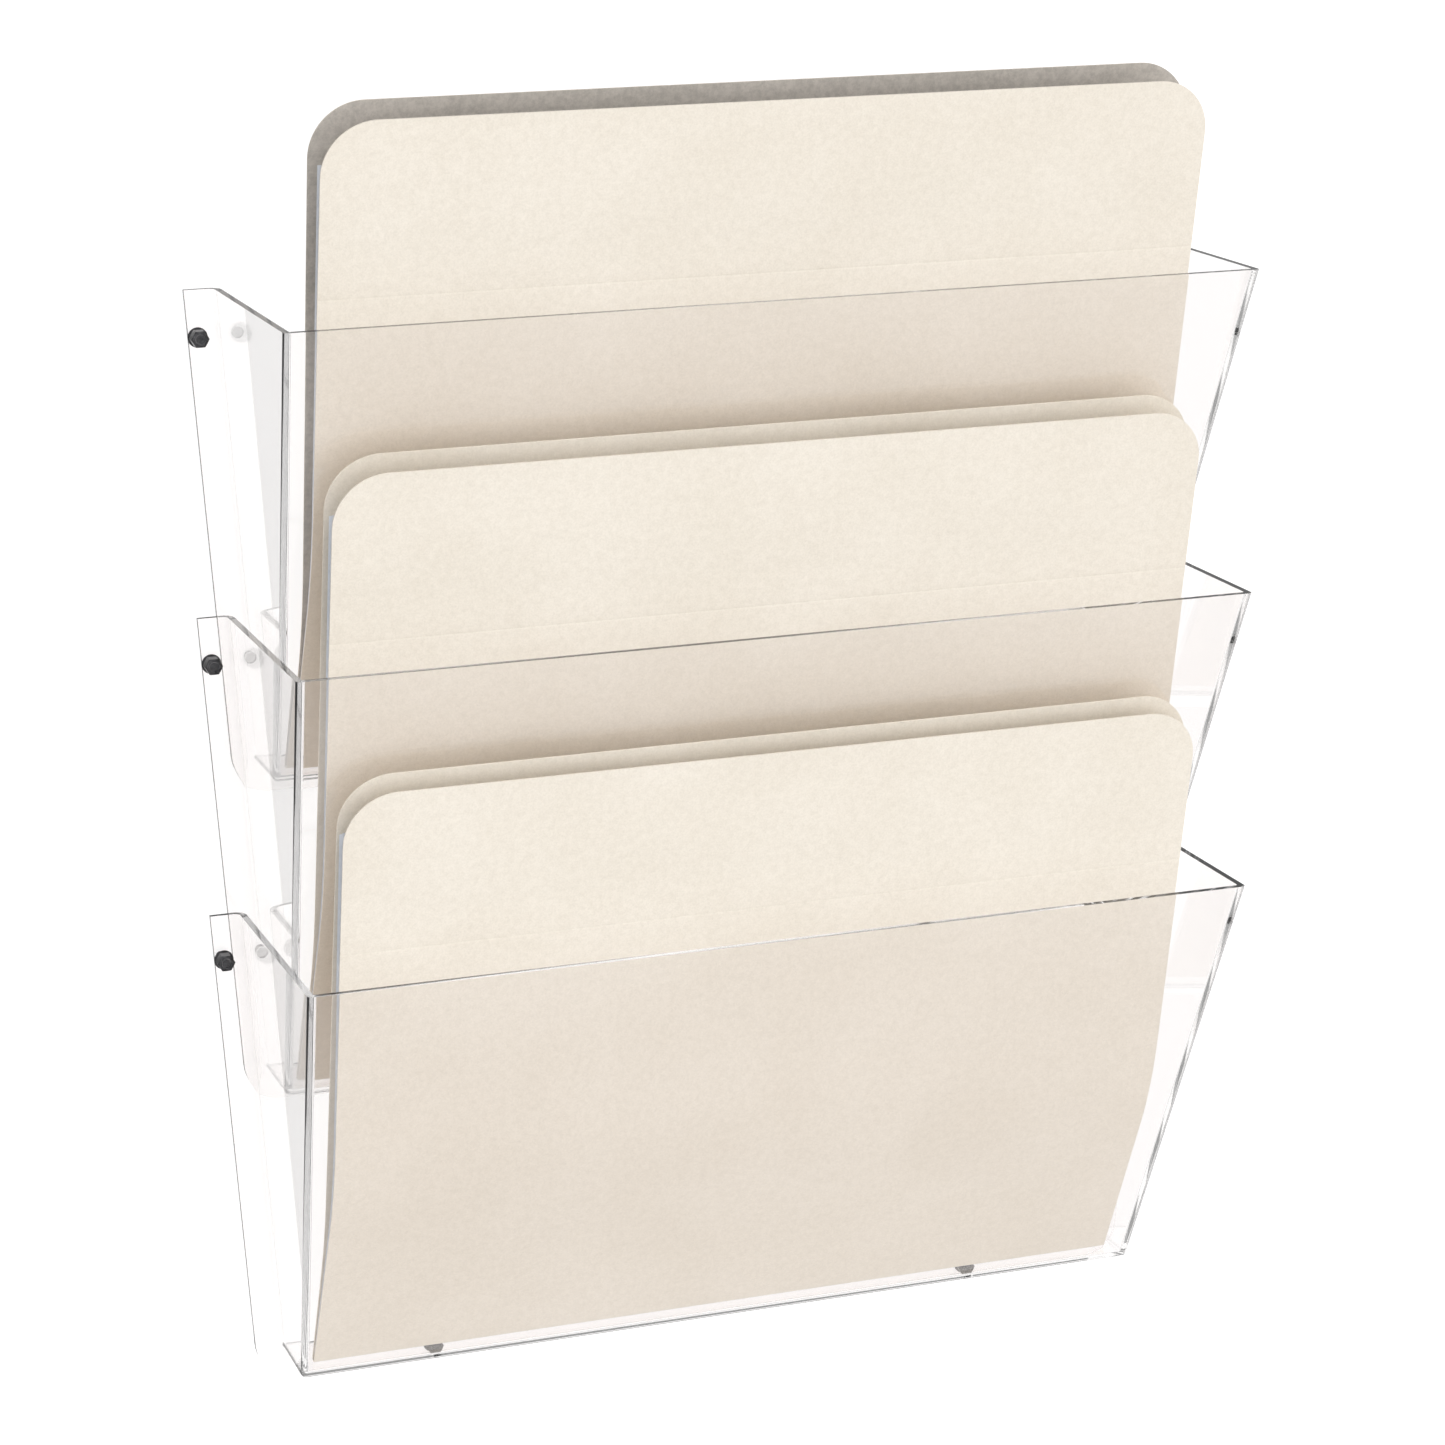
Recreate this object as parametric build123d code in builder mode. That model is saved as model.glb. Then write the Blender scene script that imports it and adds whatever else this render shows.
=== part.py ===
from build123d import *
import os
from math import atan, cos

# A wall file rack: three clear moulded pockets, nested one below the other and screwed to a wall.
# Each pocket holds one card folder with a sheaf of papers in it.
#
# Frame, in millimetres: +Z is up and -Y is towards the room. The wall is the plane y = 0. The origin
# lies on the wall, at the centre of the rectangle of the four outermost side screws.
#
# Every pocket has the same shape. Its own measures are a depth y, counted towards the room from the
# back of its flange, and a drop, counted down from the rear edge of its rim.

# Pocket body
rim_width = 330.0  # across the side walls at the rim
rim_depth = 94.7  # flange front to front panel at the rim
floor_width = 310.6  # across the side walls at the floor
floor_depth = 27.9  # flange front to front panel at the floor
pocket_height = 160.3  # rim to the underside of the floor
rim_rise = 1.3  # the rim climbs this much towards the front
wall = 2.2  # thickness of walls, front panel and floor
body_corner = 1.8  # outer rounding of the body's corners
inner_corner = 0.8  # rounding of the corners inside the body
above_rim = 4.0  # the blocks stand this much too high until the rim is cut

# Pocket flange: a frame on three sides that lies on the wall, open at the top and in the middle
flange_thickness = 1.8
flange_side_top = 9.8  # width beside the body at the rim
flange_side_floor = 9.3  # the same at the floor
flange_drop = 11.0  # width under the floor
flange_corner = 14.0  # radius of its two lower corners
bend_outside = 2.0  # radius where the body meets the front of the flange
bend_inside = 3.9  # radius where the body's inner face rolls into the back of the flange

# Nesting: each lower pocket hangs in front of the flange of the one above it
pitches = [109.4, 103.0]  # rim to rim, from the top pocket down
stand_off = flange_thickness  # each pocket sits one flange thickness further from the wall

# Screw holes and hexagon washer head screws
side_hole_x = 170.8
side_hole_drop = 15.7
lower_hole_x = 101.5
lower_hole_drop = 167.2
hole_diameter = 3.9
screw_diameter = 3.5
screw_length = 25.0  # under the head, tip included
neck_diameter = 3.0  # the plain neck, as long as the flange is thick
tip_length = 5.0
washer_diameter = 6.7
washer_rise = 0.8
washer_edge = 0.35  # thickness of the washer face at its rim
hexagon_across_flats = 5.3
head_height = 4.6
head_chamfer = 0.45
dish_diameter = 3.4
dish_depth = 0.5

# Folders: letter size, straight cut, one sheet of card folded at the bottom
folder_width = 298.5
card = 0.5
folder_corner = 18.0  # radius of the top corners
# The folder's side view is a line down the middle of the card, given as depth and drop
fold_drop = 157.5  # the fold rests just above the floor
fold_near = 21.6  # front and rear ends of the narrow fold
fold_far = 19.4
fold_radius = 0.85
front_knee = (58.3, 82.5)  # where the front leaf straightens up
front_top = (88.3, -63.5)
rear_knee = (43.0, 104.0)
rear_top_drop = -67.8
rear_top_depths = [72.5, 78.7, 81.4]  # top, middle and bottom folder
knee_radius = 150.0

# Papers: letter sheets on their long side, pushed to the left in the folder and fanned at the top
paper_width = 279.4
paper_left = 149.0
paper_foot_drop = 154.5
paper_top_drop = -49.8
paper_gap = 0.6  # behind the middle of the front leaf
paper_foot = 1.0  # thickness of the sheaf at its foot, at the knee and at its top
paper_knee = 3.0
paper_top = 6.0

names = ["top", "middle", "bottom"]
screw_span = sum(pitches)
rims = [screw_span / 2 + side_hole_drop]
for pitch in pitches:
    rims.append(rims[-1] - pitch)

front_slope = (rim_depth - floor_depth) / pocket_height
front_wall = wall / cos(atan(front_slope))  # the panel's thickness measured along Y


def half_width(drop):
    """Half the width across the side walls' outer faces."""
    return rim_width / 2 - (rim_width - floor_width) / 2 * drop / pocket_height


def front_depth(drop):
    """Depth of the front panel's outer face, from the back of the flange."""
    return flange_thickness + rim_depth - front_slope * drop


def flange_half(drop):
    """Half the width across the side flanges."""
    side = flange_side_top + (flange_side_floor - flange_side_top) * drop / pocket_height
    return half_width(drop) + side


def body_block(rim, back, side_inset, front_inset, foot_drop, behind):
    """The body's tapered block down to foot_drop, inset from its outer faces, with rounded edges."""
    top_drop = -above_rim
    if side_inset:
        corner = inner_corner
    else:
        corner = body_corner

    def near(drop):
        return -back - front_depth(drop) + front_inset

    def side(drop):
        return half_width(drop) - side_inset

    with BuildPart() as block:
        # Side view: upright at the back, slanted in front
        with BuildSketch(Plane.YZ):
            with BuildLine():
                Polyline(
                    (behind - back, rim - foot_drop),
                    (near(foot_drop), rim - foot_drop),
                    (near(top_drop), rim - top_drop),
                    (behind - back, rim - top_drop),
                    close=True,
                )
            make_face()
        extrude(amount=rim_width, both=True)
        # Front view: a trapezium that narrows towards the floor
        with BuildSketch(Plane.XZ.offset(back - behind)):
            with BuildLine():
                Polyline(
                    (-side(foot_drop), rim - foot_drop),
                    (side(foot_drop), rim - foot_drop),
                    (side(top_drop), rim - top_drop),
                    (-side(top_drop), rim - top_drop),
                    close=True,
                )
            make_face()
        extrude(amount=2 * rim_depth, mode=Mode.INTERSECT)
        around_front = block.faces().sort_by(Axis.Y)[0].edges()
        around_floor = block.faces().sort_by(Axis.Z)[0].edges()
        rounded = around_front.sort_by(Axis.Z)[:-1] + around_floor.sort_by(Axis.Y)[1:-1]
        fillet(rounded, corner)
    return block.part


def make_pocket(name, rim, back):
    """One clear pocket: tapered body with an open top and back, and its flange with four holes."""
    body = body_block(rim, back, 0, 0, pocket_height, 0)
    hollow = body_block(rim, back, wall, front_wall, pocket_height - wall, flange_thickness)
    flange_front = -back - flange_thickness
    flange_foot = pocket_height + flange_drop

    def around_body(edge):
        """True for the edges along the body's sides and floor, and not for the flange's outline."""
        centre = edge.center()
        return abs(centre.X) < half_width(rim - centre.Z) + 1 and centre.Z > rim - pocket_height - 1

    with BuildPart() as pocket:
        # The flange plate, tapered like the body and rounded at its lower corners
        with BuildSketch(Plane.XZ.offset(back)):
            with BuildLine():
                Polyline(
                    (-flange_half(0), rim),
                    (-flange_half(flange_foot), rim - flange_foot),
                    (flange_half(flange_foot), rim - flange_foot),
                    (flange_half(0), rim),
                    close=True,
                )
            plate = make_face()
            fillet(plate.vertices().group_by(Axis.Y)[0], flange_corner)
        extrude(amount=flange_thickness)
        add(body)
        # The bend where the body leaves the flange's front face
        on_front = pocket.edges().filter_by_position(Axis.Y, flange_front - 0.01, flange_front + 0.01)
        fillet([edge for edge in on_front if around_body(edge) and edge.center().Z < rim - 1], bend_outside)
        # The hollow, open at the top and at the back
        add(hollow, mode=Mode.SUBTRACT)
        # The rim, cut by a plane that climbs towards the front
        rim_plane = Plane(
            origin=(0, flange_front, rim),
            x_dir=(1, 0, 0),
            z_dir=(0, rim_rise / rim_depth, 1),
        )
        split(bisect_by=rim_plane, keep=Keep.BOTTOM)
        # The hollow's rear edges roll into the back of the flange
        on_back = pocket.edges().filter_by_position(Axis.Y, -back - 0.01, -back + 0.01)
        fillet([edge for edge in on_back if around_body(edge) and edge.center().Z < rim - 1], bend_inside)
        # Screw holes
        side_z = rim - side_hole_drop
        lower_z = rim - lower_hole_drop
        with BuildSketch(Plane.XZ.offset(back)):
            with Locations((-side_hole_x, side_z), (side_hole_x, side_z)):
                Circle(hole_diameter / 2)
            with Locations((-lower_hole_x, lower_z), (lower_hole_x, lower_z)):
                Circle(hole_diameter / 2)
        extrude(amount=flange_thickness, mode=Mode.SUBTRACT)
    pocket.part.label = name
    export_step(pocket.part, f"parts/{name}.step")
    return pocket.part


def make_screws(name, places, back):
    """A group of hexagon washer head screws driven through the flange at the given X and Z."""
    seat = back + flange_thickness
    with BuildPart() as screws:
        # Shank, neck and washer face, as one turned profile about an axis along Y
        for x, z in places:
            with BuildSketch(Plane(origin=(x, -seat, z), x_dir=(1, 0, 0), z_dir=(0, 0, 1))):
                with BuildLine():
                    Polyline(
                        (0, screw_length),
                        (0, -washer_rise),
                        (hexagon_across_flats / 2, -washer_rise),
                        (washer_diameter / 2, -washer_edge),
                        (washer_diameter / 2, 0),
                        (neck_diameter / 2, 0),
                        (neck_diameter / 2, flange_thickness),
                        (screw_diameter / 2, flange_thickness),
                        (screw_diameter / 2, screw_length - tip_length),
                        close=True,
                    )
                make_face()
            revolve(axis=Axis((x, -seat, z), (0, 1, 0)))
        for x, z in places:
            # Hexagon head with a chamfered crown and a shallow dish
            with BuildSketch(Plane(origin=(x, -seat, z), x_dir=(1, 0, 0), z_dir=(0, -1, 0))):
                RegularPolygon(hexagon_across_flats / 2, 6, major_radius=False)
            extrude(amount=head_height)
        crown = screws.faces().filter_by(Plane.XZ).sort_by(Axis.Y)[: len(places)]
        chamfer(crown.edges(), head_chamfer)
        for x, z in places:
            with BuildSketch(Plane(origin=(x, -seat - head_height, z), x_dir=(1, 0, 0), z_dir=(0, -1, 0))):
                Circle(dish_diameter / 2)
            extrude(amount=-dish_depth, taper=30, mode=Mode.SUBTRACT)
    screws.part.label = name
    export_step(screws.part, f"parts/{name}.step")
    return screws.part


def make_folder(name, rim, back, rear_top_depth):
    """A card folder: two leaves joined by a narrow fold, leaning forward and bowed at the knee."""

    def point(depth, drop):
        return (-back - depth, rim - drop)

    with BuildPart() as folder:
        with BuildSketch(Plane.YZ):
            with BuildLine():
                FilletPolyline(
                    point(rear_top_depth, rear_top_drop),
                    point(*rear_knee),
                    point(fold_far, fold_drop),
                    point(fold_near, fold_drop),
                    point(*front_knee),
                    point(*front_top),
                    radius=[knee_radius, fold_radius, fold_radius, knee_radius],
                )
            trace(line_width=card)
        extrude(amount=folder_width / 2, both=True)
        top_corners = [
            edge for edge in folder.edges() if edge.length < 2 * card and edge.center().Z > rim
        ]
        top_corners = [edge for edge in top_corners if abs(edge.center().X) > folder_width / 2 - 1]
        fillet(top_corners, folder_corner)
    folder.part.label = name
    export_step(folder.part, f"parts/{name}.step")
    return folder.part


def make_papers(name, rim, back):
    """A sheaf of papers behind the front leaf, thin at its foot and fanned towards its top."""
    front_lean = (front_top[0] - front_knee[0]) / (front_knee[1] - front_top[1])
    foot_lean = (front_knee[0] - fold_near) / (fold_drop - front_knee[1])
    foot_depth = fold_near + foot_lean * (fold_drop - paper_foot_drop) - paper_gap
    knee_depth = front_knee[0] - paper_gap
    top_depth = front_knee[0] + front_lean * (front_knee[1] - paper_top_drop) - paper_gap

    def point(depth, drop):
        return (-back - depth, rim - drop)

    with BuildPart() as papers:
        with BuildSketch(Plane.YZ.offset(paper_width / 2 - paper_left)):
            with BuildLine():
                near = FilletPolyline(
                    point(foot_depth, paper_foot_drop),
                    point(knee_depth, front_knee[1]),
                    point(top_depth, paper_top_drop),
                    radius=knee_radius,
                )
                far = FilletPolyline(
                    point(foot_depth - paper_foot, paper_foot_drop),
                    point(knee_depth - paper_knee, front_knee[1]),
                    point(top_depth - paper_top, paper_top_drop),
                    radius=knee_radius,
                )
                Line(near @ 0, far @ 0)
                Line(near @ 1, far @ 1)
            make_face()
        extrude(amount=paper_width / 2, both=True)
    papers.part.label = name
    export_step(papers.part, f"parts/{name}.step")
    return papers.part


os.makedirs("parts", exist_ok=True)

for index, (name, rim) in enumerate(zip(names, rims)):
    back = index * stand_off
    make_pocket(f"{name}_pocket", rim, back)
    side_places = [(x, rim - side_hole_drop) for x in (-side_hole_x, side_hole_x)]
    make_screws(f"{name}_side_screws", side_places, back)
    make_folder(f"{name}_folder", rim, back, rear_top_depths[index])
    make_papers(f"{name}_papers", rim, back)

# Only the lowest flange is held at its foot too
lower_places = [(x, rims[-1] - lower_hole_drop) for x in (-lower_hole_x, lower_hole_x)]
make_screws("bottom_edge_screws", lower_places, stand_off * (len(names) - 1))
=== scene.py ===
import math
import random

import bmesh
import bpy
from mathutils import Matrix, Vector


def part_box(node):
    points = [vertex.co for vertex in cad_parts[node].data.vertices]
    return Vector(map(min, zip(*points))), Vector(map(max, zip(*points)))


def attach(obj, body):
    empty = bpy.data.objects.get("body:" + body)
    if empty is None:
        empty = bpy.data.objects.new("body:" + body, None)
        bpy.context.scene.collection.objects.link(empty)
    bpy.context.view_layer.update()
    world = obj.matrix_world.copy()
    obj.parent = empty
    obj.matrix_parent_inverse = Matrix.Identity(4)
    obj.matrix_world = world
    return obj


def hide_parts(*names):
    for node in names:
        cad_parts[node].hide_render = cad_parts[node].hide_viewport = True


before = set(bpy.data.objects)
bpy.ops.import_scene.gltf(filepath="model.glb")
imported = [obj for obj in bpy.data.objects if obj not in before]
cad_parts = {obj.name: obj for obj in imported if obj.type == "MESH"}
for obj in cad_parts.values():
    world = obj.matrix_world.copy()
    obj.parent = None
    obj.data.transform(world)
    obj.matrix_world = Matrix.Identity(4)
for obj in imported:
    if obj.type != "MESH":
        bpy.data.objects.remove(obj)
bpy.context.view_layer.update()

# Looks of the wall file rack. The pockets are copies of the CAD meshes with a clear plastic on them.
# The folders, the papers and the screws are built here, inside their CAD solids. Lengths are in metres.
#
# Each pocket has its own measures: a depth, counted towards the room (-Y) from the back of its
# flange, and a drop, counted down from the rear edge of its rim.

MM = 0.001
NAMES = ("top", "middle", "bottom")

# Pockets
RIM_RISE = 1.3 * MM  # how much higher a pocket's front rim is than its rear edge
FLANGE = 1.8 * MM
FLANGE_GAP = 0.03 * MM  # nested flanges would share a face, which the renderer turns black
RIM_AREA = 5 * MM**2  # smaller faces than this, as in the screw holes, stay clear
RIM_TILT = 0.05  # the largest Y in the normal of a face on the rim
PLASTIC_IOR = 1.49
PLASTIC_TINT = (0.966, 0.953, 0.950)
# Painted shade: the dark tint of the flange's rim faces, for the dark line along the cut edges
RIM_SHADE_TINT = (0.12, 0.12, 0.12)

# Folders, as in the CAD: the side view is a line down the middle of the card
CARD = 0.5 * MM
FOLDER_CORNER = 18 * MM
FOLD_DROP = 157.5 * MM
FOLD_NEAR = 21.6 * MM
FOLD_FAR = 19.4 * MM
FOLD_RADIUS = 0.85 * MM
FRONT_KNEE = (58.3 * MM, 82.5 * MM)
FRONT_TOP = (88.3 * MM, -63.5 * MM)
REAR_KNEE = (43.0 * MM, 104.0 * MM)
REAR_TOP_DROP = -67.78 * MM
REAR_TOP_DEPTHS = {"top": 72.5 * MM, "middle": 78.7 * MM, "bottom": 81.4 * MM}
KNEE_RADIUS = 150 * MM
SCORE_DROP = -7 * MM  # a faint score runs across each leaf a little above the rim
SCORE_DEPTH = 0.1 * MM
SCORE_HALF = 0.6 * MM
SCORE_ROWS = (-1, -0.67, -0.33, 0, 0.33, 0.67, 1)  # in halves of its width
FOLDER_ROWS = 130
FOLDER_COLUMNS = 64
CORNER_ROWS = 20
CLOSEST_ROWS = 0.03 * MM  # rows nearer than this to the last one are left out

# Card tones: dark and light clouds, and the darkest patch of the mottle
CARD_TONES = ((0.862, 0.797, 0.700), (0.890, 0.828, 0.735), (0.945, 0.94, 0.93))
# Painted shade: the same card darker and more mottled, for a folder's inside where shade falls between
# its leaves
INSIDE_SHADE_TONES = ((0.60, 0.555, 0.50), (0.65, 0.60, 0.545), (0.80, 0.80, 0.80))

# Papers: loose sheets between two limits, fanned towards the top
SHEETS = 10
SHEET = 0.1 * MM
PAPER_FOOT_DROP = 154.5 * MM
PAPER_TOP_DROP = -49.8 * MM
PAPER_GAP = 0.6 * MM
PAPER_SPREAD = (1.0 * MM, 3.0 * MM, 6.0 * MM)  # at the foot, at the knee and at the top
SHEET_SHIFT = 1.6 * MM  # how far sheets slide sideways
SHEET_SHORT = 1.8 * MM  # how far their tops differ
SHEET_ROWS = 60
SHEET_COLUMNS = 20

# Screws
HEAD_FLATS = 5.3 * MM
HEAD_HEIGHT = 4.6 * MM
WASHER_RADIUS = 3.35 * MM
WASHER_RISE = 0.8 * MM
WASHER_EDGE = 0.35 * MM
CROWN_RADIUS = 2.55 * MM  # inside this circle the head's crown is flat
DISH_RADIUS = 1.7 * MM
DISH_DEPTH = 0.5 * MM
DISH_SLOPE = 0.25 * MM
CHAMFER = 30  # degrees
BREAK = 0.08 * MM  # the broken edges of the washer face
SMALL_BREAK = 0.06 * MM
SMALLEST_BREAK = 0.05 * MM
CROWN_BREAK = 0.1 * MM
FILLET = 0.12 * MM  # between the washer face and the hexagon
NECK_RADIUS = 1.5 * MM
NECK_LENGTH = 1.8 * MM
THREAD_CREST = 1.75 * MM
THREAD_ROOT = 1.3 * MM
THREAD_PITCH = 1.35 * MM
TIP_LENGTH = 5.0 * MM
THREAD_ROWS = 8  # rows of faces in one pitch
ROOT_FLAT = 0.25  # the share of a pitch that has no ridge
RUN_IN = 0.75  # the thread's first radius, as a share of its full one
TIP_BLUNT = 0.02  # the same for its last
TIP_TURNS = 1.1  # turns left out before the point
SCREW_SIDES = 48
SCREW_CREASE = 24  # degrees

# Camera and stage
CAMERA_PLACE = (-0.4595, -1.3152, 0.3486)
CAMERA_AZIMUTH = -19.67
CAMERA_ELEVATION = 15.63
CAMERA_ROLL = -0.235
CAMERA_LENS = 103.4
WALL_SIZE = 6.0
WALL_GAP = 0.2 * MM
WALL_EMISSION = 0.88
FLOOR_DROP = 1.3
TENT = 0.73
GLOW = 1.02  # added to the tent's strength at the glow's core
GLOW_AZIMUTH = 25
GLOW_ELEVATION = 15
GLOW_REACH = 60  # degrees from its middle to where the glow ends
GLOW_CORE = 10
BACK_SHARE = 0.65  # how much of its strength the tent keeps behind the wall
BACK_EDGE = 0.25  # the Y of a direction from which the tent is that dim
LIGHT_BOUNCES = 24
DIFFUSE_BOUNCES = 5
TRANSPARENT_BOUNCES = 16


# ---------------------------------------------------------------- outlines and meshes


def rounded_line(points, radii, step=math.radians(2)):
    """The polyline through the points with each inner corner turned into an arc of its radius."""
    made = [Vector(points[0])]
    for before, corner, after, radius in zip(points, points[1:], points[2:], radii):
        corner = Vector(corner)
        back = (Vector(before) - corner).normalized()
        on = (Vector(after) - corner).normalized()
        half = back.angle(on) / 2
        reach = radius / math.tan(half)
        centre = corner + (back + on).normalized() * radius / math.sin(half)
        start = corner + back * reach - centre
        end = corner + on * reach - centre
        turn = start.angle(end)
        count = max(2, math.ceil(turn / step))
        for i in range(count + 1):
            share = i / count
            weight_start = math.sin((1 - share) * turn) / math.sin(turn)
            weight_end = math.sin(share * turn) / math.sin(turn)
            made.append(centre + start * weight_start + end * weight_end)
    made.append(Vector(points[-1]))
    return made


class Line:
    """A polyline that gives its point and direction at any length along it."""

    def __init__(self, points):
        self.points = points
        self.along = [0.0]
        for a, b in zip(points, points[1:]):
            self.along.append(self.along[-1] + (b - a).length)
        self.length = self.along[-1]

    def at(self, distance):
        distance = min(max(distance, 0.0), self.length)
        low = 0
        while low < len(self.points) - 2 and self.along[low + 1] < distance:
            low += 1
        a, b = self.points[low], self.points[low + 1]
        span = self.along[low + 1] - self.along[low]
        return a.lerp(b, (distance - self.along[low]) / span), (b - a).normalized()


def merged(values, nearest):
    """The sorted values without those that lie closer than nearest to the one before."""
    kept = []
    for value in sorted(values):
        if not kept or value - kept[-1] > nearest:
            kept.append(value)
    return kept


def sheet_mesh(name, rows, thickness, material, back_shade=None):
    """A closed sheet, with a second material on its back where one is given: the painted shade of a
    folder's inside. Each row is a list of (point, normal) across it.
    """
    mesh = bmesh.new()
    sides = []
    for offset in (thickness / 2, -thickness / 2):
        sides.append([[mesh.verts.new(p + n * offset) for p, n in row] for row in rows])
    front, back = sides
    height, width = len(rows), len(rows[0])
    for i in range(height - 1):
        for j in range(width - 1):
            mesh.faces.new((front[i][j], front[i][j + 1], front[i + 1][j + 1], front[i + 1][j]))
            loop = (back[i][j], back[i + 1][j], back[i + 1][j + 1], back[i][j + 1])
            mesh.faces.new(loop).material_index = int(back_shade is not None)
    for i in range(height - 1):
        for j, flip in ((0, False), (width - 1, True)):
            loop = [front[i][j], front[i + 1][j], back[i + 1][j], back[i][j]]
            mesh.faces.new(loop[::-1] if flip else loop)
    for j in range(width - 1):
        for i, flip in ((0, True), (height - 1, False)):
            loop = [front[i][j], front[i][j + 1], back[i][j + 1], back[i][j]]
            mesh.faces.new(loop[::-1] if not flip else loop)
    made = finished(name, mesh, material)
    if back_shade is not None:
        made.data.materials.append(back_shade)
    return made


def finished(name, mesh, material, crease=30):
    """An object from a bmesh, smooth except where faces meet at more than crease degrees."""
    bmesh.ops.remove_doubles(mesh, verts=mesh.verts, dist=1e-7)
    bmesh.ops.recalc_face_normals(mesh, faces=mesh.faces)
    data = bpy.data.meshes.new(name)
    mesh.to_mesh(data)
    mesh.free()
    for polygon in data.polygons:
        polygon.use_smooth = True
    data.set_sharp_from_angle(angle=math.radians(crease))
    data.materials.append(material)
    made = bpy.data.objects.new(name, data)
    bpy.context.scene.collection.objects.link(made)
    return made


def joined(name, objects):
    """The objects as one, under the given name."""
    bpy.ops.object.select_all(action="DESELECT")
    for each in objects:
        each.select_set(True)
    bpy.context.view_layer.objects.active = objects[0]
    bpy.ops.object.join()
    objects[0].name = name
    objects[0].data.name = name
    return objects[0]


# ---------------------------------------------------------------- materials


def new_material(name):
    """A material whose node tree holds its output and one Principled shader."""
    material = bpy.data.materials.new(name)
    material.use_nodes = True
    nodes = material.node_tree.nodes
    nodes.clear()
    output = nodes.new("ShaderNodeOutputMaterial")
    shader = nodes.new("ShaderNodeBsdfPrincipled")
    material.node_tree.links.new(shader.outputs[0], output.inputs["Surface"])
    return material, shader


def socket_of(node, key):
    """The input that a key stands for: i3 is input number 3, and From_Min is From Min."""
    if key[0] == "i" and key[1:].isdigit():
        return node.inputs[int(key[1:])]
    return node.inputs[key.replace("_", " ")]


def add(material, kind, settings=None, **inputs):
    """A node of that kind with its settings, and its inputs set or linked by name."""
    tree = material.node_tree
    node = tree.nodes.new(kind)
    for key, value in (settings or {}).items():
        setattr(node, key, value)
    for key, value in inputs.items():
        socket = socket_of(node, key)
        if isinstance(value, bpy.types.NodeSocket):
            tree.links.new(value, socket)
        else:
            socket.default_value = value
    return node


def object_noise(material, scale, detail=2.0, roughness=0.5, stretch=(1, 1, 1)):
    """Noise in the object's own coordinates. scale counts features in a metre."""
    place = add(material, "ShaderNodeTexCoord").outputs["Object"]
    mapped = add(material, "ShaderNodeMapping", Vector=place, Scale=stretch).outputs[0]
    noise = add(
        material, "ShaderNodeTexNoise", Vector=mapped, Scale=scale, Detail=detail, Roughness=roughness
    )
    return noise.outputs["Fac"]


def ramp(material, factor, low, high, from_low=0.35, from_high=0.65):
    """A colour between low and high as the factor goes between its two limits."""
    node = add(material, "ShaderNodeValToRGB", Fac=factor)
    node.color_ramp.elements[0].position = from_low
    node.color_ramp.elements[0].color = (*low, 1)
    node.color_ramp.elements[1].position = from_high
    node.color_ramp.elements[1].color = (*high, 1)
    return node.outputs["Color"]


def spread(material, factor, low, high):
    """A number between low and high as the noise factor goes from 0.3 to 0.7."""
    node = add(material, "ShaderNodeMapRange", i0=factor, i1=0.3, i2=0.7, i3=low, i4=high)
    return node.outputs[0]


def mixed(material, blend, factor, first, second):
    """Two colours mixed in the given way."""
    node = add(
        material,
        "ShaderNodeMix",
        {"data_type": "RGBA", "blend_type": blend},
        i0=factor,
        i6=first,
        i7=second,
    )
    return node.outputs[2]


def bump(material, height, strength, distance, below=None):
    """A bumped normal, on top of another one where it is given."""
    node = add(material, "ShaderNodeBump", Height=height, Strength=strength, Distance=distance)
    if below is not None:
        material.node_tree.links.new(below, node.inputs["Normal"])
    return node.outputs[0]


def clear_plastic(name, tint):
    """Moulded clear polystyrene in a tint. It bends light, and is faintly wavy and handled."""
    material, shader = new_material(name)
    shader.inputs["Base Color"].default_value = (*tint, 1)
    shader.inputs["Transmission Weight"].default_value = 1
    shader.inputs["IOR"].default_value = PLASTIC_IOR
    handled = object_noise(material, 30, detail=5, roughness=0.6)
    material.node_tree.links.new(spread(material, handled, 0.004, 0.03), shader.inputs["Roughness"])
    flow = object_noise(material, 14, detail=1)
    material.node_tree.links.new(bump(material, flow, 0.05, 0.4 * MM), shader.inputs["Normal"])
    return material


def manila_card(name, dark, light, dark_patch):
    """Card between two tones, with a fine tooth, mottled pulp and slow clouding."""
    material, shader = new_material(name)
    cloud = object_noise(material, 22, detail=3)
    tone = ramp(material, cloud, dark, light)
    tooth = object_noise(material, 1500, detail=2, roughness=0.7)
    grain = ramp(material, tooth, (0.93, 0.93, 0.925), (1.0, 1.0, 1.0), 0.3, 0.62)
    colour = mixed(material, "MULTIPLY", 1.0, tone, grain)
    mottle = object_noise(material, 420, detail=3, roughness=0.75)
    patches = ramp(material, mottle, dark_patch, (1.0, 1.0, 1.0), 0.34, 0.62)
    colour = mixed(material, "MULTIPLY", 1.0, colour, patches)
    links = material.node_tree.links
    links.new(colour, shader.inputs["Base Color"])
    links.new(spread(material, tooth, 0.72, 0.88), shader.inputs["Roughness"])
    normal = bump(material, tooth, 0.22, 0.12 * MM)
    normal = bump(material, cloud, 0.10, 0.8 * MM, normal)
    links.new(normal, shader.inputs["Normal"])
    shader.inputs["Specular IOR Level"].default_value = 0.25
    return material


def bond_paper():
    """Bluish white office paper with a fine formation."""
    material, shader = new_material("bond_paper")
    formation = object_noise(material, 400, detail=4, roughness=0.6)
    colour = ramp(material, formation, (0.80, 0.83, 0.88), (0.88, 0.90, 0.94))
    links = material.node_tree.links
    links.new(colour, shader.inputs["Base Color"])
    links.new(spread(material, formation, 0.62, 0.8), shader.inputs["Roughness"])
    links.new(bump(material, formation, 0.15, 0.05 * MM), shader.inputs["Normal"])
    shader.inputs["Specular IOR Level"].default_value = 0.3
    return material


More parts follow.
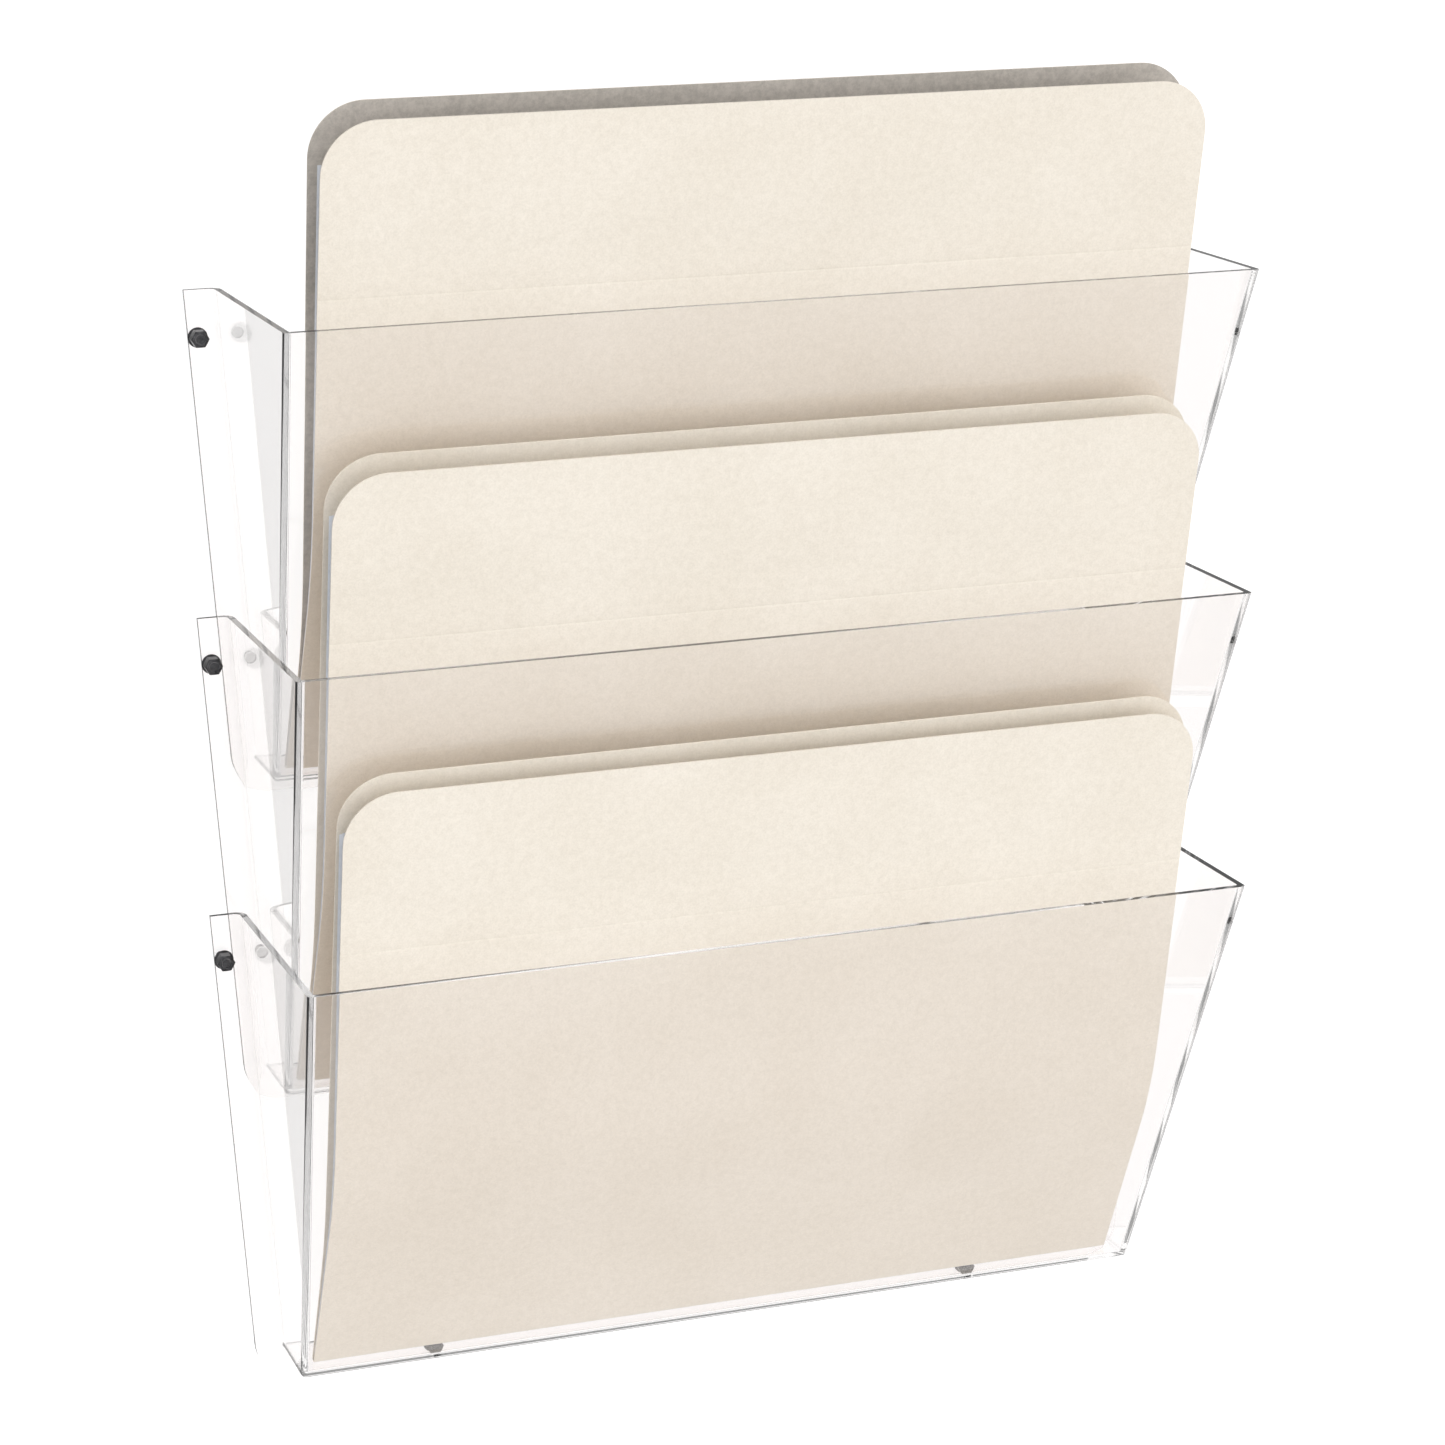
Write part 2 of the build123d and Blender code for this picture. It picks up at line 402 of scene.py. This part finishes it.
def black_steel():
    """Blackened steel with a grainy oxide that is worn thinner in places."""
    material, shader = new_material("black_steel")
    oxide = object_noise(material, 900, detail=4, roughness=0.65)
    colour = ramp(material, oxide, (0.045, 0.045, 0.048), (0.085, 0.085, 0.09))
    pits = object_noise(material, 3500, detail=2)
    links = material.node_tree.links
    links.new(colour, shader.inputs["Base Color"])
    shader.inputs["Metallic"].default_value = 1
    links.new(spread(material, oxide, 0.26, 0.42), shader.inputs["Roughness"])
    links.new(bump(material, pits, 0.15, 0.03 * MM), shader.inputs["Normal"])
    return material


# ---------------------------------------------------------------- folders and papers


def pocket_origins():
    """For each pocket, the Y of the back of its flange and the Z of the rear edge of its rim."""
    highest = {name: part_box(f"{name}_pocket")[1] for name in NAMES}
    return {name: (high.y, high.z - RIM_RISE) for name, high in highest.items()}


def profile_frame(name, line, distance):
    """The point of a side view line at x = 0, and the normal on its outer side.

    The outer side faces the room where the line rises, and the wall where it falls.
    """
    back, rim = ORIGINS[name]
    point, way = line.at(distance)
    place = Vector((0, back - point.x, rim - point.y))
    direction = Vector((0, -way.x, -way.y))
    return place, Vector((0, -direction.z, direction.y))


def nearest_length(line, drop, rising):
    """How far along the line it passes that drop, on the stretch that goes up or down."""
    for i, (a, b) in enumerate(zip(line.points, line.points[1:])):
        if (b.y < a.y) == rising and min(a.y, b.y) <= drop <= max(a.y, b.y):
            return line.along[i] + (line.along[i + 1] - line.along[i]) * (drop - a.y) / (b.y - a.y)
    return 0.0


def make_folder(name, material, back_shade):
    """A card folder as one bent sheet: rear leaf, narrow fold, front leaf, with rounded top corners."""
    low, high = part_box(f"{name}_folder")
    half, centre = (high.x - low.x) / 2, (high.x + low.x) / 2
    line = Line(
        rounded_line(
            [
                (REAR_TOP_DEPTHS[name], REAR_TOP_DROP),
                REAR_KNEE,
                (FOLD_FAR, FOLD_DROP),
                (FOLD_NEAR, FOLD_DROP),
                FRONT_KNEE,
                FRONT_TOP,
            ],
            [KNEE_RADIUS, FOLD_RADIUS, FOLD_RADIUS, KNEE_RADIUS],
            math.radians(1),
        )
    )
    scores = [nearest_length(line, SCORE_DROP, rising) for rising in (False, True)]
    lengths = [line.length * i / FOLDER_ROWS for i in range(FOLDER_ROWS + 1)]
    lengths += [s for s, p in zip(line.along, line.points) if p.y > FOLD_DROP - 4 * FOLD_RADIUS]
    for i in range(CORNER_ROWS + 1):
        inset = FOLDER_CORNER * (1 - math.cos(math.pi / 2 * i / CORNER_ROWS))
        lengths += [inset, line.length - inset]
    for score in scores:
        lengths += [score + SCORE_HALF * share for share in SCORE_ROWS]
    rows = []
    for distance in merged(lengths, CLOSEST_ROWS):
        place, normal = profile_frame(name, line, distance)
        pressed = max(0.0, 1 - min(abs(distance - s) for s in scores) / SCORE_HALF)
        place = place - normal * SCORE_DEPTH * math.sin(pressed * math.pi / 2) ** 2
        from_end = min(distance, line.length - distance)
        side = half
        if from_end < FOLDER_CORNER:
            rise = FOLDER_CORNER - from_end
            side = half - FOLDER_CORNER + math.sqrt(max(0.0, FOLDER_CORNER**2 - rise**2))
        row = []
        for j in range(FOLDER_COLUMNS + 1):
            x = centre + side * (2 * j / FOLDER_COLUMNS - 1)
            row.append((Vector((x, place.y, place.z)), normal))
        rows.append(row)
    folder = sheet_mesh(f"{name}_card_folder", rows, CARD, material, back_shade)
    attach(folder, f"{name}_file")
    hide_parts(f"{name}_folder")
    return folder


def make_papers(name, material, dice):
    """Loose sheets behind the front leaf, close together at the foot and fanned towards the top."""
    low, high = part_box(f"{name}_papers")
    slope = (FRONT_KNEE[0] - FOLD_NEAR) / (FOLD_DROP - FRONT_KNEE[1])
    lean = (FRONT_TOP[0] - FRONT_KNEE[0]) / (FRONT_KNEE[1] - FRONT_TOP[1])
    foot = FOLD_NEAR + slope * (FOLD_DROP - PAPER_FOOT_DROP) - PAPER_GAP
    knee = FRONT_KNEE[0] - PAPER_GAP
    top = FRONT_KNEE[0] + lean * (FRONT_KNEE[1] - PAPER_TOP_DROP) - PAPER_GAP
    margin = SHEET * 0.5
    sheets = []
    for i in range(SHEETS):
        share = i / (SHEETS - 1)
        depths = []
        for depth, room in zip((foot, knee, top), PAPER_SPREAD):
            depths.append(depth - margin - share * (room - 2 * margin))
        shift = dice.uniform(0.0, SHEET_SHIFT)
        short = dice.uniform(0.0, SHEET_SHORT)
        line = Line(
            rounded_line(
                [
                    (depths[0], PAPER_FOOT_DROP),
                    (depths[1], FRONT_KNEE[1]),
                    (depths[2], PAPER_TOP_DROP),
                ],
                [KNEE_RADIUS],
            )
        )
        rows = []
        for k in range(SHEET_ROWS + 1):
            place, normal = profile_frame(name, line, (line.length - short) * k / SHEET_ROWS)
            left, right = low.x + shift, high.x - SHEET_SHIFT + shift
            row = []
            for j in range(SHEET_COLUMNS + 1):
                x = left + (right - left) * j / SHEET_COLUMNS
                row.append((Vector((x, place.y, place.z)), normal))
            rows.append(row)
        sheets.append(sheet_mesh(f"{name}_sheet_{i}", rows, SHEET, material))
    papers = joined(f"{name}_paper_sheets", sheets)
    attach(papers, f"{name}_file")
    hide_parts(f"{name}_papers")
    return papers


# ---------------------------------------------------------------- pockets


def make_pocket(name, clear, edge):
    """The CAD pocket with its flange a hair thinner, and painted shade on the flange's rim: a
    dark-tinted plastic on its outward faces, for the dark line that clear plastic shows along a cut
    edge.
    """
    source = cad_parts[f"{name}_pocket"]
    data = source.data.copy()
    data.name = f"{name}_clear_pocket"
    data.transform(source.matrix_world)
    data.materials.clear()
    data.materials.append(clear)
    data.materials.append(edge)
    low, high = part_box(f"{name}_pocket")
    middle = (low + high) / 2
    front = high.y - FLANGE
    for polygon in data.polygons:
        across = polygon.normal.copy()
        across.y = 0
        on_rim = polygon.center.y > front and abs(polygon.normal.y) < RIM_TILT
        outward = across.dot(polygon.center - middle) > 0
        # Painted shade: the flange's outward rim faces take the dark tint
        polygon.material_index = int(on_rim and outward and polygon.area > RIM_AREA)
    for vertex in data.vertices:
        if abs(vertex.co.y - front) < FLANGE_GAP / 3:
            vertex.co.y += FLANGE_GAP
    pocket = bpy.data.objects.new(data.name, data)
    bpy.context.scene.collection.objects.link(pocket)
    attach(pocket, "rack")
    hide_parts(f"{name}_pocket")
    return pocket


# ---------------------------------------------------------------- screws


def ring(mesh, centre, radii, depth):
    """A ring of points about the screw's axis. radii and depth may be functions of the angle."""
    made = []
    for i in range(SCREW_SIDES):
        angle = 2 * math.pi * i / SCREW_SIDES
        radius = radii(angle) if callable(radii) else radii
        y = depth(angle) if callable(depth) else depth
        spot = Vector((radius * math.cos(angle), y, radius * math.sin(angle)))
        made.append(mesh.verts.new(centre + spot))
    return made


def skin(mesh, rings):
    """Faces between each ring and the next, all rings as long."""
    for a, b in zip(rings, rings[1:]):
        for i in range(len(a)):
            j = (i + 1) % len(a)
            mesh.faces.new((a[i], a[j], b[j], b[i]))


def hexagon(angle):
    """The radius of the head's hexagon at that angle, with corners to the left and right."""
    off = (angle - math.pi / 6) % (math.pi / 3)
    off = min(off, math.pi / 3 - off)
    return HEAD_FLATS / 2 / math.cos(off)


def chamfered(angle):
    """The height of the hexagon's side at that angle, cut by the chamfer's cone."""
    return -HEAD_HEIGHT + max(0.0, hexagon(angle) - CROWN_RADIUS) * math.tan(math.radians(CHAMFER))


def head_mesh(mesh, seat):
    """Washer face and hexagon head with a chamfered, dished crown."""
    rings = [
        ring(mesh, seat, NECK_RADIUS, 0),
        ring(mesh, seat, WASHER_RADIUS - BREAK, 0),
        ring(mesh, seat, WASHER_RADIUS, -BREAK),
        ring(mesh, seat, WASHER_RADIUS, -WASHER_EDGE + SMALL_BREAK),
        ring(mesh, seat, WASHER_RADIUS - BREAK, -WASHER_EDGE),
        ring(mesh, seat, lambda angle: hexagon(angle) + FILLET, -WASHER_RISE + FILLET),
        ring(mesh, seat, hexagon, -WASHER_RISE - SMALLEST_BREAK),
        ring(mesh, seat, hexagon, lambda angle: chamfered(angle) + SMALL_BREAK),
        ring(mesh, seat, lambda angle: hexagon(angle) - SMALLEST_BREAK, chamfered),
        ring(mesh, seat, CROWN_RADIUS - CROWN_BREAK, -HEAD_HEIGHT),
        ring(mesh, seat, DISH_RADIUS, -HEAD_HEIGHT),
        ring(mesh, seat, DISH_RADIUS - DISH_SLOPE, -HEAD_HEIGHT + DISH_DEPTH),
    ]
    skin(mesh, rings)
    mesh.faces.new(rings[-1])
    return rings[0]


def thread_radius(depth, turn, length):
    """The thread's radius at a depth under the head, that many turns from the top of a crest."""
    ridge = abs((turn % 1.0) * 2 - 1)
    sharp = max(0.0, (ridge - ROOT_FLAT) / (1 - ROOT_FLAT))
    run_in = min(1.0, RUN_IN + (depth - NECK_LENGTH) / THREAD_PITCH)
    taper = min(1.0, (length - depth) / TIP_LENGTH + TIP_BLUNT)
    return (THREAD_ROOT + (THREAD_CREST - THREAD_ROOT) * sharp) * run_in * taper


def shank_mesh(mesh, seat, length, neck):
    """The neck and the helical thread down to the point. Its rows climb with the thread."""
    count = len(neck)
    steps = THREAD_ROWS
    last = math.floor(((length - NECK_LENGTH) / THREAD_PITCH - TIP_TURNS) * steps)
    spots = {}
    for i in range(count):
        angle = 2 * math.pi * i / count
        for k in range(last + 1 + (steps if i == 0 else 0)):
            depth = NECK_LENGTH + THREAD_PITCH * (k / steps + i / count)
            radius = thread_radius(depth, k / steps, length)
            spot = Vector((radius * math.cos(angle), depth, radius * math.sin(angle)))
            spots[k, i] = mesh.verts.new(seat + spot)
    # Once round, a row has climbed by one pitch
    for k in range(last + 1):
        spots[k, count] = spots[k + steps, 0]
    for i in range(count):
        for k in range(last):
            mesh.faces.new((spots[k, i], spots[k, i + 1], spots[k + 1, i + 1], spots[k + 1, i]))
    shoulder = ring(mesh, seat, NECK_RADIUS, NECK_LENGTH - SMALLEST_BREAK)
    skin(mesh, [neck, shoulder])
    point = mesh.verts.new(seat + Vector((0, length, 0)))
    for i in range(count - 1):
        mesh.faces.new((shoulder[i], shoulder[i + 1], spots[0, i + 1], spots[0, i]))
        mesh.faces.new((spots[last, i], spots[last, i + 1], point))
    first_turn = [spots[k, 0] for k in range(steps + 1)]
    mesh.faces.new([shoulder[-1], shoulder[0], *first_turn, spots[0, count - 1]])
    last_turn = [spots[last + k, 0] for k in range(steps, -1, -1)]
    mesh.faces.new([point, spots[last, count - 1], *last_turn])


def make_screws(node, material):
    """The two screws of a CAD node, standing where its solids are."""
    low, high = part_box(node)
    height = (low.z + high.z) / 2
    seat_y = low.y + HEAD_HEIGHT
    screws = []
    for x in (low.x + WASHER_RADIUS, high.x - WASHER_RADIUS):
        mesh = bmesh.new()
        seat = Vector((x, seat_y, height))
        neck = head_mesh(mesh, seat)
        shank_mesh(mesh, seat, high.y - seat_y, neck)
        screws.append(finished(f"{node}_{len(screws)}", mesh, material, SCREW_CREASE))
    made = joined(f"{node}_threaded", screws)
    made.visible_glossy = False
    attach(made, "rack")
    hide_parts(node)
    return made


# ---------------------------------------------------------------- stage, light and camera


def plane(name, corners, material):
    """A flat stage piece."""
    mesh = bmesh.new()
    mesh.faces.new([mesh.verts.new(corner) for corner in corners])
    data = bpy.data.meshes.new(name)
    mesh.to_mesh(data)
    mesh.free()
    data.materials.append(material)
    made = bpy.data.objects.new(name, data)
    bpy.context.scene.collection.objects.link(made)
    return made


def make_wall():
    """A white wall that is seen from the room only, so that views from behind show the rack's back."""
    material, shader = new_material("stage_wall")
    shader.inputs["Base Color"].default_value = (0.30, 0.30, 0.30, 1)
    shader.inputs["Roughness"].default_value = 0.9
    shader.inputs["Specular IOR Level"].default_value = 0
    shader.inputs["Emission Color"].default_value = (1, 1, 1, 1)
    shader.inputs["Emission Strength"].default_value = WALL_EMISSION
    behind = add(material, "ShaderNodeNewGeometry").outputs["Backfacing"]
    nothing = add(material, "ShaderNodeBsdfTransparent").outputs[0]
    either = add(material, "ShaderNodeMixShader", i0=behind, i1=shader.outputs[0], i2=nothing)
    surface = material.node_tree.nodes["Material Output"].inputs["Surface"]
    material.node_tree.links.new(either.outputs[0], surface)
    half = WALL_SIZE / 2
    corners = [
        (-half, WALL_GAP, -FLOOR_DROP),
        (half, WALL_GAP, -FLOOR_DROP),
        (half, WALL_GAP, half),
        (-half, WALL_GAP, half),
    ]
    wall = plane("stage_wall", corners, material)
    wall.visible_diffuse = False
    wall.visible_glossy = False
    return wall


def make_floor():
    """A pale floor, well below the rack."""
    material, shader = new_material("stage_floor")
    shader.inputs["Base Color"].default_value = (0.90, 0.895, 0.885, 1)
    shader.inputs["Roughness"].default_value = 0.8
    half = WALL_SIZE / 2
    corners = [
        (-half, -half, -FLOOR_DROP),
        (half, -half, -FLOOR_DROP),
        (half, half, -FLOOR_DROP),
        (-half, half, -FLOOR_DROP),
    ]
    floor = plane("stage_floor", corners, material)
    floor.visible_diffuse = False
    floor.visible_glossy = False
    floor.visible_transmission = False
    return floor


def direction(azimuth, elevation):
    """The way from the rack to something in front of it, turned to the right and raised by degrees."""
    azimuth, elevation = math.radians(azimuth), math.radians(elevation)
    out = math.cos(elevation)
    return Vector((math.sin(azimuth) * out, -math.cos(azimuth) * out, math.sin(elevation)))


def faded(tree, value, edges, start, end):
    """A number that goes smoothly from start to end as the value goes between the two edges."""
    node = tree.nodes.new("ShaderNodeMapRange")
    node.interpolation_type = "SMOOTHSTEP"
    tree.links.new(value, node.inputs["Value"])
    node.inputs["From Min"].default_value = edges[0]
    node.inputs["From Max"].default_value = edges[1]
    node.inputs["To Min"].default_value = start
    node.inputs["To Max"].default_value = end
    return node.outputs[0]


def make_light():
    """A white tent, dimmer behind the wall, with a wide soft glow in front and to the right."""
    world = bpy.data.worlds.new("studio")
    world.use_nodes = True
    bpy.context.scene.world = world
    tree = world.node_tree
    place = tree.nodes.new("ShaderNodeTexCoord").outputs["Generated"]
    facing = tree.nodes.new("ShaderNodeVectorMath")
    facing.operation = "DOT_PRODUCT"
    tree.links.new(place, facing.inputs[0])
    facing.inputs[1].default_value = direction(GLOW_AZIMUTH, GLOW_ELEVATION)
    edges = (math.cos(math.radians(GLOW_REACH)), math.cos(math.radians(GLOW_CORE)))
    strength = faded(tree, facing.outputs["Value"], edges, TENT, TENT + GLOW)
    apart = tree.nodes.new("ShaderNodeSeparateXYZ")
    tree.links.new(place, apart.inputs[0])
    behind = faded(tree, apart.outputs["Y"], (0, BACK_EDGE), 1, BACK_SHARE)
    dimmed = tree.nodes.new("ShaderNodeMath")
    dimmed.operation = "MULTIPLY"
    tree.links.new(strength, dimmed.inputs[0])
    tree.links.new(behind, dimmed.inputs[1])
    background = tree.nodes["Background"]
    background.inputs["Color"].default_value = (1, 1, 1, 1)
    tree.links.new(dimmed.outputs[0], background.inputs["Strength"])
    world.cycles.sampling_method = "NONE"


def make_camera():
    """The photograph's viewing angle."""
    data = bpy.data.cameras.new("camera")
    data.sensor_width = 36
    data.lens = CAMERA_LENS
    data.clip_start = 0.05
    data.clip_end = 20
    camera = bpy.data.objects.new("camera", data)
    bpy.context.scene.collection.objects.link(camera)
    turn = (-direction(CAMERA_AZIMUTH, CAMERA_ELEVATION)).to_track_quat("-Z", "Y").to_euler()
    turn.rotate_axis("Z", math.radians(CAMERA_ROLL))
    camera.location = CAMERA_PLACE
    camera.rotation_euler = turn
    bpy.context.scene.camera = camera


# ---------------------------------------------------------------- the scene


ORIGINS = pocket_origins()
plastic = clear_plastic("clear_plastic", PLASTIC_TINT)
# Painted shade: the clear plastic in a dark tint, for the dark line along the flange's cut edges
rim_shade_plastic = clear_plastic("rim_shade_plastic", RIM_SHADE_TINT)
card = manila_card("manila_card", *CARD_TONES)
# Painted shade: a darker copy of the card, for the shade that falls on a folder's inside
inside = manila_card("manila_inside_painted_shade", *INSIDE_SHADE_TONES)
paper = bond_paper()
steel = black_steel()
dice = random.Random(7)

for name in NAMES:
    make_pocket(name, plastic, rim_shade_plastic)
    # Painted shade: the top folder's inside gets the darker card, for the shade between its leaves
    # In the photo only the top folder is visibly darker inside
    make_folder(name, card, inside if name == "top" else None)
    make_papers(name, paper, dice)
    make_screws(f"{name}_side_screws", steel)
make_screws("bottom_edge_screws", steel)

make_wall()
make_floor()
make_light()
make_camera()

scene = bpy.context.scene
scene.view_settings.view_transform = "Standard"
scene.cycles.max_bounces = LIGHT_BOUNCES
scene.cycles.transmission_bounces = LIGHT_BOUNCES
scene.cycles.transparent_max_bounces = TRANSPARENT_BOUNCES
scene.cycles.glossy_bounces = LIGHT_BOUNCES
scene.cycles.diffuse_bounces = DIFFUSE_BOUNCES
scene.cycles.blur_glossy = 0  # blurring darkens what is seen through the plastic
